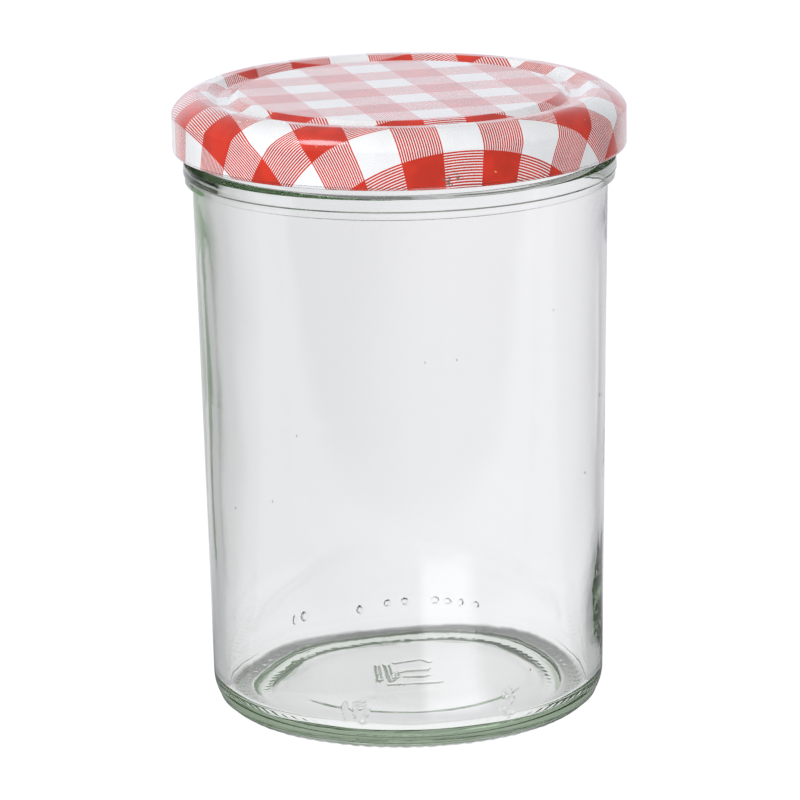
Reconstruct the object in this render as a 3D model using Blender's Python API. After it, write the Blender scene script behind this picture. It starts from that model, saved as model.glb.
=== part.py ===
# A straight-sided preserving jar of clear pressed glass, empty, with its twist-off lid on.
# The origin is at the middle of the base, on the surface that the jar stands on, with +Z up.
# Both pieces are turned bodies. The jar has six short thread ridges, and the lid has six lugs under them.

import math

import bmesh
import bpy
from mathutils import Vector

MM = 0.001

# Driving sizes, in millimetres
SEGMENTS = 60
THREADS = 6

LID_TOP = 120.0
LID_HEIGHT = 10.8
LID_RADIUS = 43.0
SHEET = 0.25
SHOULDER_WIDTH = 4.8
SHOULDER_DROP = 3.65
SHOULDER_POWER = 1.41
CREST_INNER_RADIUS = 36.2
CREST_LIP = 0.3            # how far the crest's inner corner is broken
CREST_FOOT = 1.2           # run of the slope from the groove up to the crest
PANEL_RADIUS = 30.7
PANEL_DROP = 0.15
PANEL_LIP = 0.4
GROOVE_DEPTH = 1.4
GROOVE_SLOPE = 1.65
GROOVE_LIP = 0.6
CURL_RADIUS = 0.65
CURL_HEIGHT = 1.5
CURL_LIP = 0.4
SEAL_INNER_RADIUS = 35.5
SEAL_OUTER_RADIUS = 39.5
SEAL_FACE = 118.95
SEAL_LIP = 0.3
UNDER_SPAN = 65            # degrees of the shoulder's underside that stay clear of the seal

GAP = 0.3
RIM_TOP = SEAL_FACE - GAP
MOUTH_RADIUS = 36.6
FINISH_RADIUS = 38.9
RIM_ROUND = 0.9
BEAD_RADIUS = 41.0
BEAD_TOP = 107.5           # where the bead's sloping top meets the finish
BEAD_EDGE = 107.1
BEAD_LOW = 103.4
BEAD_BREAK = 0.35
BODY_TOP = 103.1
BODY_TOP_RADIUS = 39.39
BORE_BEAD_RADIUS = 37.65   # the bore widens a little towards the bead
BORE_SHELF = 107.15
BORE_SHELF_DROP = 0.45
BORE_FOOT = 103.86
BORE_START = 62.0
HEEL_RADIUS = 37.7
HEEL_HEIGHT = 6.7
HEEL_ROUND = 6.0
RING_WIDTH = 1.9
RING_LIP = 1.2
RING_LIP_RISE = 0.6
PUSH_UP = 2.2
UNDER_BREAK = 0.7          # where the push-up flattens, as a share of its radius
UNDER_SHARE = 0.8          # and the share of its height that is left there
WALL = 2.5
FLOOR = 4.6
FLOOR_RISE = 1.1
FLOOR_BREAK = 0.5
FLOOR_SHARE = 0.75
FLOOR_ROUND = 3.4

THREAD_START = -79.2
THREAD_SPAN = 50.0
THREAD_LOW = 109.15
THREAD_SLOPE = 6.5
THREAD_DEPTH = 1.45
THREAD_HALF = 1.0
THREAD_END = 0.12          # height left at a ridge's ends, as a share
THREAD_RUN_IN = 5.0
THREAD_CREST = 0.4         # half of the flat crest, as a share of the half height
THREAD_NARROW = 0.55
THREAD_ROOT = 0.6          # how deep a ridge is sunk in the finish
LUG_OFFSET = 38.0
LUG_SPAN = 13.0
LUG_TIP_RADIUS = 39.85
LUG_THICKNESS = 0.95
LUG_LIFT = 0.25
LUG_EDGE = 0.3
LUG_FLAT = (0.35, 0.65)    # the flat of the tip, as shares of the thickness
LUG_ENDS = (0.08, 0.84)    # the part of a half wave that shapes the lug's reach


def arc(centre_r, centre_z, half_r, half_z, start, end, steps, power=2.0):
    # Points of an ellipse, or of a flatter curve where power is under 2; angles in degrees
    points = []
    for step in range(steps + 1):
        angle = math.radians(start + (end - start) * step / steps)
        cosine, sine = math.cos(angle), math.sin(angle)
        r = centre_r + half_r * math.copysign(abs(cosine) ** (2.0 / power), cosine)
        z = centre_z + half_z * math.copysign(abs(sine) ** (2.0 / power), sine)
        points.append((r, z))
    return points


def inner_radius(z):
    # The inside of the wall follows the slightly tapered outside
    share = (z - HEEL_HEIGHT) / (BODY_TOP - HEEL_HEIGHT)
    return HEEL_RADIUS + (BODY_TOP_RADIUS - HEEL_RADIUS) * share - WALL


def jar_outline():
    # From the middle of the underside out, up the outside, over the rim and down the inside
    ring_outer = HEEL_RADIUS - HEEL_ROUND
    ring_inner = ring_outer - RING_WIDTH
    points = [(0.0, PUSH_UP), (ring_inner * UNDER_BREAK, PUSH_UP * UNDER_SHARE)]
    points += [(ring_inner - RING_LIP, RING_LIP_RISE), (ring_inner, 0.0)]
    points += arc(ring_outer, HEEL_HEIGHT, HEEL_ROUND, HEEL_HEIGHT, -90, 0, 7)
    points += [(BODY_TOP_RADIUS, BODY_TOP), (BEAD_RADIUS - BEAD_BREAK, BEAD_LOW)]
    points += [(BEAD_RADIUS, BEAD_LOW + BEAD_BREAK), (BEAD_RADIUS, BEAD_EDGE), (FINISH_RADIUS, BEAD_TOP)]
    rim_half = (FINISH_RADIUS - MOUTH_RADIUS) / 2
    points += arc(FINISH_RADIUS - rim_half, RIM_TOP - RIM_ROUND, rim_half, RIM_ROUND, 0, 180, 6)
    points += [(MOUTH_RADIUS, BORE_SHELF), (BORE_BEAD_RADIUS, BORE_SHELF - BORE_SHELF_DROP)]
    points += [(BORE_BEAD_RADIUS, BORE_FOOT), (inner_radius(BORE_START), BORE_START)]
    corner_r = inner_radius(FLOOR + FLOOR_ROUND) - FLOOR_ROUND
    points += arc(corner_r, FLOOR + FLOOR_ROUND, FLOOR_ROUND, FLOOR_ROUND, 0, -90, 4)
    points += [(corner_r * FLOOR_BREAK, FLOOR + FLOOR_RISE * FLOOR_SHARE), (0.0, FLOOR + FLOOR_RISE)]
    return points


def lid_outline():
    # From the middle of the panel out, down the skirt, round the curl and back under the sheet
    panel = LID_TOP - PANEL_DROP
    groove = LID_TOP - GROOVE_DEPTH
    bottom = LID_TOP - LID_HEIGHT
    shoulder_r = LID_RADIUS - SHOULDER_WIDTH
    shoulder_z = LID_TOP - SHOULDER_DROP
    groove_start = PANEL_RADIUS + GROOVE_SLOPE
    crest_foot = CREST_INNER_RADIUS - CREST_FOOT
    points = [(0.0, panel), (PANEL_RADIUS - PANEL_LIP, panel), (PANEL_RADIUS, panel - 0.4 * PANEL_LIP)]
    points += [(groove_start, groove + 0.4 * GROOVE_LIP), (groove_start + GROOVE_LIP, groove)]
    points += [(crest_foot - CREST_FOOT, groove), (crest_foot, groove + CREST_FOOT / 2)]
    points += [(CREST_INNER_RADIUS - 0.2, LID_TOP - CREST_LIP), (CREST_INNER_RADIUS + CREST_LIP, LID_TOP)]
    points += arc(shoulder_r, shoulder_z, SHOULDER_WIDTH, SHOULDER_DROP, 90, 0, 7, SHOULDER_POWER)
    points += arc(LID_RADIUS - CURL_RADIUS, bottom + CURL_RADIUS, CURL_RADIUS, CURL_RADIUS, 0, -180, 4)
    hem = LID_RADIUS - 2 * CURL_RADIUS
    inside = LID_RADIUS - SHEET
    points += [(hem, bottom + CURL_HEIGHT - CURL_LIP), (hem + CURL_LIP, bottom + CURL_HEIGHT)]
    points += [(inside, bottom + CURL_HEIGHT)]
    points += arc(shoulder_r, shoulder_z, SHOULDER_WIDTH - SHEET, SHOULDER_DROP - SHEET, 0, UNDER_SPAN, 5,
                  SHOULDER_POWER)
    points += [(SEAL_OUTER_RADIUS, SEAL_FACE + SEAL_LIP / 3), (SEAL_OUTER_RADIUS - SEAL_LIP, SEAL_FACE)]
    points += [(SEAL_INNER_RADIUS, SEAL_FACE), (CREST_INNER_RADIUS - 1.3, groove - SHEET)]
    points += [(groove_start + 0.4, groove - SHEET), (groove_start - 0.4, groove + 0.1)]
    points += [(PANEL_RADIUS - 0.3, panel - SHEET - 0.1), (PANEL_RADIUS - 0.6, panel - SHEET), (0.0, panel - SHEET)]
    return points


def to_object(name, bm, colour, roughness, metallic, transmission=0.0):
    bmesh.ops.recalc_face_normals(bm, faces=bm.faces)
    mesh = bpy.data.meshes.new(name)
    bm.to_mesh(mesh)
    bm.free()
    mesh.shade_smooth()
    mesh.set_sharp_from_angle(angle=math.radians(35))
    material = bpy.data.materials.get(name) or bpy.data.materials.new(name)
    material.use_nodes = True
    shader = material.node_tree.nodes['Principled BSDF']
    shader.inputs['Base Color'].default_value = colour
    shader.inputs['Roughness'].default_value = roughness
    shader.inputs['Metallic'].default_value = metallic
    shader.inputs['Transmission Weight'].default_value = transmission
    mesh.materials.append(material)
    thing = bpy.data.objects.new(name, mesh)
    bpy.context.scene.collection.objects.link(thing)
    return thing


def turned(name, outline, **finish):
    # Spins the outline once round the upright axis into one closed skin
    bm = bmesh.new()
    corners = [bm.verts.new((r * MM, 0.0, z * MM)) for r, z in outline]
    edges = [bm.edges.new(pair) for pair in zip(corners, corners[1:])]
    bmesh.ops.spin(bm, geom=corners + edges, cent=(0, 0, 0), axis=(0, 0, 1),
                   angle=math.tau, steps=SEGMENTS, use_duplicate=False)
    bmesh.ops.remove_doubles(bm, verts=bm.verts, dist=1e-6)
    return to_object(name, bm, **finish)


def swept(name, sections, **finish):
    # Joins equal closed sections one after another and caps both ends
    bm = bmesh.new()
    loops = [[bm.verts.new(point) for point in section] for section in sections]
    for near, far in zip(loops, loops[1:]):
        for index in range(len(near)):
            following = (index + 1) % len(near)
            bm.faces.new((near[index], near[following], far[following], far[index]))
    bm.faces.new(loops[0])
    bm.faces.new(loops[-1])
    bmesh.ops.triangulate(bm, faces=bm.faces)
    return to_object(name, bm, **finish)


def around(r, degrees, z):
    angle = math.radians(degrees)
    return Vector((r * math.cos(angle), r * math.sin(angle), z)) * MM


def thread_ridge(index):
    # A ridge that starts just above the bead and climbs to the right, fading in and out at its ends
    sections = []
    steps = 12
    for step in range(steps + 1):
        share = step / steps
        degrees = THREAD_START + index * 360.0 / THREADS + THREAD_SPAN * share
        run = math.radians(THREAD_SPAN * share) * FINISH_RADIUS
        middle = THREAD_LOW + run * math.tan(math.radians(THREAD_SLOPE))
        swell = min(1.0, THREAD_END + THREAD_RUN_IN * min(share, 1.0 - share))
        crest = FINISH_RADIUS + THREAD_DEPTH * swell
        half = THREAD_HALF * (THREAD_NARROW + (1.0 - THREAD_NARROW) * swell)
        root = FINISH_RADIUS - THREAD_ROOT
        outline = [(root, -half), (FINISH_RADIUS, -half), (crest, -half * THREAD_CREST),
                   (crest, half * THREAD_CREST), (FINISH_RADIUS, half), (root, half)]
        sections.append([around(r, degrees, middle + rise) for r, rise in outline])
    return swept(f'thread_{index + 1}', sections, **GLASS)


def lid_lug(index):
    # A stretch of the curl that is pressed flat and inward, to hook under a thread ridge
    sections = []
    steps = 6
    low = LID_TOP - LID_HEIGHT + LUG_LIFT
    for step in range(steps + 1):
        share = step / steps
        degrees = THREAD_START + index * 360.0 / THREADS + LUG_OFFSET + LUG_SPAN * (share - 0.5)
        reach = math.sin(math.pi * (LUG_ENDS[0] + LUG_ENDS[1] * share)) ** 0.5
        back = LID_RADIUS - CURL_RADIUS
        hem = LID_RADIUS - 2 * CURL_RADIUS
        tip = hem - (hem - LUG_TIP_RADIUS) * reach
        outline = [(back, low), (tip + LUG_EDGE, low), (tip, low + LUG_THICKNESS * LUG_FLAT[0]),
                   (tip, low + LUG_THICKNESS * LUG_FLAT[1]), (tip + LUG_EDGE, low + LUG_THICKNESS),
                   (back, low + LUG_THICKNESS)]
        sections.append([around(r, degrees, z) for r, z in outline])
    return swept(f'lug_{index + 1}', sections, **TINPLATE)


def fuse(body, pieces, group_name):
    # Joins the pieces to the body, and keeps them as hidden guides in a collection of their own
    group = bpy.data.collections.new(group_name)
    bpy.context.scene.collection.children.link(group)
    for piece in pieces:
        bpy.context.scene.collection.objects.unlink(piece)
        group.objects.link(piece)
        piece.hide_render = True
        piece.display_type = 'WIRE'
    union = body.modifiers.new('union', 'BOOLEAN')
    union.operation = 'UNION'
    union.solver = 'EXACT'
    union.operand_type = 'COLLECTION'
    union.collection = group


GLASS = {'colour': (0.93, 0.96, 0.94, 1.0), 'roughness': 0.02, 'metallic': 0.0, 'transmission': 1.0}
TINPLATE = {'colour': (0.72, 0.10, 0.06, 1.0), 'roughness': 0.2, 'metallic': 0.0}


def main():
    for thing in list(bpy.data.objects):
        bpy.data.objects.remove(thing, do_unlink=True)
    jar = turned('glass_jar', jar_outline(), **GLASS)
    fuse(jar, [thread_ridge(index) for index in range(THREADS)], 'thread_ridges')
    lid = turned('twist_lid', lid_outline(), **TINPLATE)
    fuse(lid, [lid_lug(index) for index in range(THREADS)], 'lid_lugs')


main()
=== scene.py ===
# A preserving jar of clear pressed glass, empty, with its red gingham twist-off lid on.
# Lengths are in millimetres and turn into metres where a mesh or a node is made.
import math
import random

import bpy
import numpy as np
from mathutils import Matrix, Vector


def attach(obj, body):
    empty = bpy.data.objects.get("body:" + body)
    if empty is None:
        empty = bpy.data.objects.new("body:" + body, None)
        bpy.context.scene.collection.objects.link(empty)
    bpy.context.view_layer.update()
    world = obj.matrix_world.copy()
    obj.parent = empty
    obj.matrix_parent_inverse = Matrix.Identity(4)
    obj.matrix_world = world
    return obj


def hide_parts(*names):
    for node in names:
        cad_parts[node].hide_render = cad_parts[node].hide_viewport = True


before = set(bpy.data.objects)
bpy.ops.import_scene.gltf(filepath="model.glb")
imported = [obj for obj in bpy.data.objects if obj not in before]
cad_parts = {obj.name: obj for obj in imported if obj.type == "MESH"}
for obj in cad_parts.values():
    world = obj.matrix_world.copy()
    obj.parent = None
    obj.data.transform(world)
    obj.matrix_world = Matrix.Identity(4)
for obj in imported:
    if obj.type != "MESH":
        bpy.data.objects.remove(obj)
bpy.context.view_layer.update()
mm = 0.001
fullTurn = math.tau


# The camera stands at the photograph's viewing angle.
photoView = {
    'elevation': 14.246,        # degrees above the horizon
    'distance': 958.831,
    'lens': 225.0,
    'sensor': 36.0,
    'roll': -0.977,             # the object leans by about a degree in the photograph
    'aimAcross': -0.735,
    'aimHeight': 59.379,
    'nearest': 50.0,            # nothing closer or farther than this is drawn
    'farthest': 60000.0,
}


def placeCamera(view):
    tilt = math.radians(view['elevation'])
    roll = math.radians(view['roll'])
    back = Vector((0.0, -math.cos(tilt), math.sin(tilt)))
    across = Vector((1.0, 0.0, 0.0))
    above = across.cross(-back)
    right = across * math.cos(roll) + above * math.sin(roll)
    upward = above * math.cos(roll) - across * math.sin(roll)
    spot = (Vector((view['aimAcross'], 0.0, view['aimHeight'])) + back * view['distance']) * mm
    data = bpy.data.cameras.new('photoCamera')
    data.lens = view['lens']
    data.sensor_width = view['sensor']
    data.clip_start = view['nearest'] * mm
    data.clip_end = view['farthest'] * mm
    camera = bpy.data.objects.new('photoCamera', data)
    bpy.context.scene.collection.objects.link(camera)
    turn = Matrix((right, upward, back)).transposed()
    camera.matrix_world = Matrix.Translation(spot) @ turn.to_4x4()
    bpy.context.scene.camera = camera


# Helpers for meshes and outlines.

def arcPoints(centreR, centreZ, halfR, halfZ, start, end, count, power=2.0):
    # an ellipse, or a flatter curve where power is under 2; angles in degrees
    points = []
    for step in range(count + 1):
        angle = math.radians(start + (end - start) * step / count)
        cosine = math.cos(angle)
        sine = math.sin(angle)
        r = centreR + halfR * math.copysign(abs(cosine) ** (2.0 / power), cosine)
        z = centreZ + halfZ * math.copysign(abs(sine) ** (2.0 / power), sine)
        points.append((r, z))
    return points


def roundedLine(corners, spacing, turnStep=9.0):
    # corners are (r, z, fillet radius); the straight runs are cut into pieces of about the spacing,
    # with a short piece at each end that keeps the smooth shading to the corner
    points = [Vector(corners[0][:2])]
    guard = 0.05                # the short piece
    leastBend = 0.01            # radians; anything less counts as straight

    def runTo(target):
        start = points[-1]
        length = (target - start).length
        if length > 6 * guard:
            points.append(start.lerp(target, guard / length))
            start = points[-1]
            target = target.lerp(start, guard / length)
            runEvenly(start, target)
            points.append(target.lerp(start, -guard / (target - start).length))
        else:
            runEvenly(start, target)

    def runEvenly(start, target):
        count = max(1, round((target - start).length / spacing))
        for step in range(1, count + 1):
            points.append(start.lerp(target, step / count))

    for before, corner, after in zip(corners, corners[1:], corners[2:]):
        here = Vector(corner[:2])
        toBefore = (Vector(before[:2]) - here).normalized()
        toAfter = (Vector(after[:2]) - here).normalized()
        opening = toBefore.angle(toAfter)
        bend = math.pi - opening
        radius = corner[2]
        if radius <= 0.0 or bend < leastBend:
            runTo(here)
            continue
        reach = radius / math.tan(opening / 2)
        centre = here + (toBefore + toAfter).normalized() * (radius / math.sin(opening / 2))
        runTo(here + toBefore * reach)
        first = here + toBefore * reach - centre
        last = here + toAfter * reach - centre
        count = max(2, math.ceil(math.degrees(bend) / turnStep))
        for step in range(1, count + 1):
            share = step / count
            mixed = first * math.sin((1 - share) * bend) + last * math.sin(share * bend)
            points.append(centre + mixed / math.sin(bend))
    runTo(Vector(corners[-1][:2]))
    return [(point.x, point.y) for point in points]


def ringFaces(nearStart, nearCount, farStart, farCount):
    # joins two rings of the same count, of counts 1 to 3, or a ring and a pole
    faces = []
    if nearCount == 1:
        for j in range(farCount):
            faces.append((nearStart, farStart + (j + 1) % farCount, farStart + j))
    elif farCount == 1:
        for j in range(nearCount):
            faces.append((nearStart + j, nearStart + (j + 1) % nearCount, farStart))
    elif nearCount == farCount:
        for j in range(nearCount):
            k = (j + 1) % nearCount
            faces.append((nearStart + j, nearStart + k, farStart + k, farStart + j))
    elif farCount == 3 * nearCount:
        for j in range(nearCount):
            k = (j + 1) % nearCount
            a, b, c, d = (farStart + (3 * j + step) % farCount for step in range(4))
            faces += [(nearStart + j, b, a), (nearStart + j, nearStart + k, c, b), (nearStart + k, d, c)]
    else:
        for j in range(farCount):
            k = (j + 1) % farCount
            a, b, c, d = (nearStart + (3 * j + step) % nearCount for step in range(4))
            faces += [(a, b, farStart + j), (b, c, farStart + k, farStart + j), (c, d, farStart + k)]
    return faces


def meshFromRings(rings, inward=False):
    # rings run from pole to pole, each an array of points; gives back the band of each face too
    faces = []
    bands = []
    starts = np.cumsum([0] + [len(ring) for ring in rings])
    for index, (near, far) in enumerate(zip(rings, rings[1:])):
        made = ringFaces(int(starts[index]), len(near), int(starts[index + 1]), len(far))
        faces += [tuple(reversed(face)) for face in made] if inward else made
        bands += [index] * len(made)
    points = np.concatenate(rings) * mm
    return points, faces, bands


def finishPiece(name, points, faces, materials, node):
    mesh = bpy.data.meshes.new(name)
    mesh.from_pydata(points.tolist(), [], faces)
    mesh.update()
    mesh.shade_smooth()
    for material in materials:
        mesh.materials.append(material)
    piece = bpy.data.objects.new(name, mesh)
    bpy.context.scene.collection.objects.link(piece)
    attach(piece, 'root')
    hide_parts(node)
    return piece


def countTriangles(faces):
    return sum(len(face) - 2 for face in faces)


def smoothStep(low, high, value):
    share = np.clip((np.asarray(value, dtype=float) - low) / (high - low), 0.0, 1.0)
    return share * share * (3.0 - 2.0 * share)


def comeAndGo(points, value):
    # rises from the first to the second number and falls from the third to the fourth
    return smoothStep(points[0], points[1], value) * (1.0 - smoothStep(points[2], points[3], value))


def fromAngle(angles, centre):
    # signed angle from the centre, at most half a turn either way
    return np.mod(angles - centre + math.pi, fullTurn) - math.pi


def waveSet(seed, count, aroundMost, shortest, longest, size):
    # gentle unevenness: cosines with whole waves around and a chosen length upwards
    rng = random.Random(seed)
    waves = []
    for _ in range(count):
        length = shortest * (longest / shortest) ** rng.random()
        waves.append((rng.randint(0, aroundMost), fullTurn / length * rng.choice((-1, 1)),
                      rng.uniform(0, fullTurn), size * rng.uniform(0.5, 1.0) / math.sqrt(count)))
    return waves


def waveSum(waves, angles, along):
    total = np.zeros_like(angles)
    for around, up, phase, size in waves:
        total = total + size * np.cos(around * angles + up * along + phase)
    return total


# Helpers for node materials.

def addNode(tree, kind, *inputs, **settings):
    # inputs go to the sockets in order: a socket is linked, a value is set, None is left as it is
    made = tree.nodes.new(kind)
    for name, value in settings.items():
        setattr(made, name, value)
    for socket, value in zip(made.inputs, inputs):
        if isinstance(value, bpy.types.NodeSocket):
            tree.links.new(value, socket)
        elif value is not None:
            socket.default_value = value
    return made


def calc(tree, operation, *values):
    return addNode(tree, 'ShaderNodeMath', *values, operation=operation).outputs[0]


def times(tree, product, *others):
    for value in others:
        product = calc(tree, 'MULTIPLY', product, value)
    return product


def remap(tree, value, low, high, outLow=0.0, outHigh=1.0):
    made = addNode(tree, 'ShaderNodeMapRange', value, low, high, outLow, outHigh,
                   interpolation_type='SMOOTHSTEP')
    return made.outputs[0]


def smoothBand(tree, value, points):
    # rises from the first to the second number and falls from the third to the fourth
    rise = remap(tree, value, points[0], points[1])
    fall = remap(tree, value, points[2], points[3], 1.0, 0.0)
    return times(tree, rise, fall)


def noise(tree, place, scale, detail=2.0, rough=0.5):
    # the scale is in features to the metre
    made = addNode(tree, 'ShaderNodeTexNoise')
    tree.links.new(place, made.inputs['Vector'])
    made.inputs['Scale'].default_value = scale
    made.inputs['Detail'].default_value = detail
    made.inputs['Roughness'].default_value = rough
    return made.outputs[0]


def addBump(tree, height, strength, depth):
    bump = addNode(tree, 'ShaderNodeBump')
    bump.inputs['Strength'].default_value = strength
    bump.inputs['Distance'].default_value = depth * mm
    tree.links.new(height, bump.inputs['Height'])
    return bump.outputs[0]


def mixColour(tree, share, first, second):
    made = addNode(tree, 'ShaderNodeMix', data_type='RGBA')
    for socket, value in zip((made.inputs[0], made.inputs[6], made.inputs[7]), (share, first, second)):
        if isinstance(value, bpy.types.NodeSocket):
            tree.links.new(value, socket)
        else:
            socket.default_value = value
    return made.outputs[2]


def mixNumber(tree, share, first, second):
    return addNode(tree, 'ShaderNodeMix', share, None, first, second, data_type='FLOAT').outputs[0]


def newMaterial(name, **values):
    # a material with its Principled shader's plain sockets set by name
    material = bpy.data.materials.new(name)
    material.use_nodes = True
    tree = material.node_tree
    shader = tree.nodes['Principled BSDF']
    for key, value in values.items():
        shader.inputs[key].default_value = value
    return material, tree, shader


# The studio has a white floor and soft light from the front left. Two numbers of an edge are where
# a soft change starts and ends; those of the sky are parts of a direction, from -1 to 1.
studio = {
    'floorRadius': 4000.0,
    'floorDrop': 0.05,
    'floorCorners': 96,
    'seenWhite': 1.04,          # floor and background as the camera sees them
    'floorTint': (1.0, 0.985, 1.03, 1.0),       # makes up for the green of the glass
    'floorLight': 0.80,         # what the floor gives to the printed lid
    'floorThrough': 0.995,      # what the glass shows of the floor
    'strayShare': 0.80,         # what is left of light that wanders about inside the glass
    'strayBounces': (1.5, 3.5),
    'frontDark': 0.22,          # the unlit room in front, seen in reflections only
    'frontEdge': (46.0, 105.0),
    'sideDark': 0.22,           # and to the sides, as the lid mirrors it
    'sideEdge': (0.50, 0.85),
    'windowBright': 2.4,        # a bright patch on the floor that the glass mirrors
    'windowAzimuths': (-83.5, -58.0),
    'windowSoft': (-0.04, 0.06, -0.10, 0.10),   # radians about its two sides
    'windowReach': (54.0, 64.0, 142.0, 166.0),
    'windowNear': (60.0, 120.0, 1.35),          # it is brighter close to the jar
    'contactRing': (28.5, 31.0, 33.8, 37.0),    # the jar's own shadow on the floor, by distance
    'contactDepth': 0.80,
    'frontRing': (14.0, 24.0, 42.0, 52.0),      # the weaker shadow in front
    'frontDepth': 0.24,
    'shadowTurn': (-22.0, 12.0),                # from the shadow in front to the one behind
    'edgeCentre': 37.0,         # the darker sides are fans of directions from the jar's edges
    'greyLeft': (96.0, 106.0, 0.16),            # directions and depth on the left
    'greyRight': (84.0, 66.0, 0.08),
    'greyBehind': (8.0, -28.0, 0.085),          # and a slow fall towards the left
    'edgeLeft': (68.0, 106.0, 0.38),            # the same for light that the glass has turned aside
    'edgeRight': (112.0, 74.0, 0.38),
    'edgeSpared': 0.45,         # how much of those fans the lacquer doesn't mirror
    'skyTint': (0.985, 0.99, 1.0, 1.0),
    'keyFrom': (-0.62, -0.78, 0.18),            # where the lid's soft light comes from
    'keyStarts': -0.25,
    'keyPower': 1.55,
    'base': 0.34,               # light on the lid from all round
    'mirrorBack': 0.945,        # what the lid's lacquer mirrors behind it
    'mirrorFront': 0.28,
    'mirrorBackEdge': (0.60, 0.95),
    'mirrorTop': 0.45,
    'mirrorTopEdge': (0.45, 0.85),
    'mirrorTint': (0.96, 0.965, 1.04, 1.0),
    'spotFrom': (-0.41, -0.10, 0.905),          # a lamp that the lacquer mirrors
    'spotPower': 9.0,
    'spotEdge': (0.985, 0.996),
    'throughSky': 0.52,         # the sky near the horizon, as the glass shows it
    'throughSkyEdge': (0.42, 0.62),
}


def makeWorld(settings):
    world = bpy.data.worlds.new('softStudio')
    bpy.context.scene.world = world
    world.use_nodes = True
    world.cycles.sampling_method = 'NONE'
    tree = world.node_tree
    background = tree.nodes['Background']
    direction = addNode(tree, 'ShaderNodeTexCoord').outputs['Generated']
    parts = addNode(tree, 'ShaderNodeSeparateXYZ', direction)

    def facing(aim):
        unit = Vector(aim).normalized()
        turned = addNode(tree, 'ShaderNodeVectorMath', direction, tuple(unit), operation='DOT_PRODUCT')
        return turned.outputs['Value']

    # soft light on the printed lid
    key = remap(tree, facing(settings['keyFrom']), settings['keyStarts'], 1.0)
    soft = calc(tree, 'ADD', times(tree, key, settings['keyPower']), settings['base'])
    # what the lacquer mirrors
    backwards = remap(tree, parts.outputs[1], *settings['mirrorBackEdge'],
                      settings['mirrorFront'], settings['mirrorBack'])
    upwards = remap(tree, parts.outputs[2], *settings['mirrorTopEdge'])
    mirrored = mixNumber(tree, upwards, backwards, settings['mirrorTop'])
    spot = remap(tree, facing(settings['spotFrom']), *settings['spotEdge'], 0.0, settings['spotPower'])
    mirrored = calc(tree, 'ADD', mirrored, spot)
    path = addNode(tree, 'ShaderNodeLightPath').outputs
    share = mixNumber(tree, path['Is Glossy Ray'], soft, mirrored)
    # what the glass shows
    low = remap(tree, parts.outputs[2], *settings['throughSkyEdge'], settings['throughSky'], 1.0)
    stray = remap(tree, path['Glossy Depth'], *settings['strayBounces'], 1.0, settings['strayShare'])
    share = mixNumber(tree, path['Is Transmission Ray'], share, times(tree, low, stray))
    share = mixNumber(tree, path['Is Camera Ray'], share, settings['seenWhite'])
    outside = calc(tree, 'SUBTRACT', 1.0, path['Is Transmission Ray'])
    onLid = times(tree, path['Is Glossy Ray'], outside)
    colour = mixColour(tree, onLid, settings['skyTint'], settings['mirrorTint'])
    tree.links.new(colour, background.inputs['Color'])
    tree.links.new(share, background.inputs['Strength'])


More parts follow.
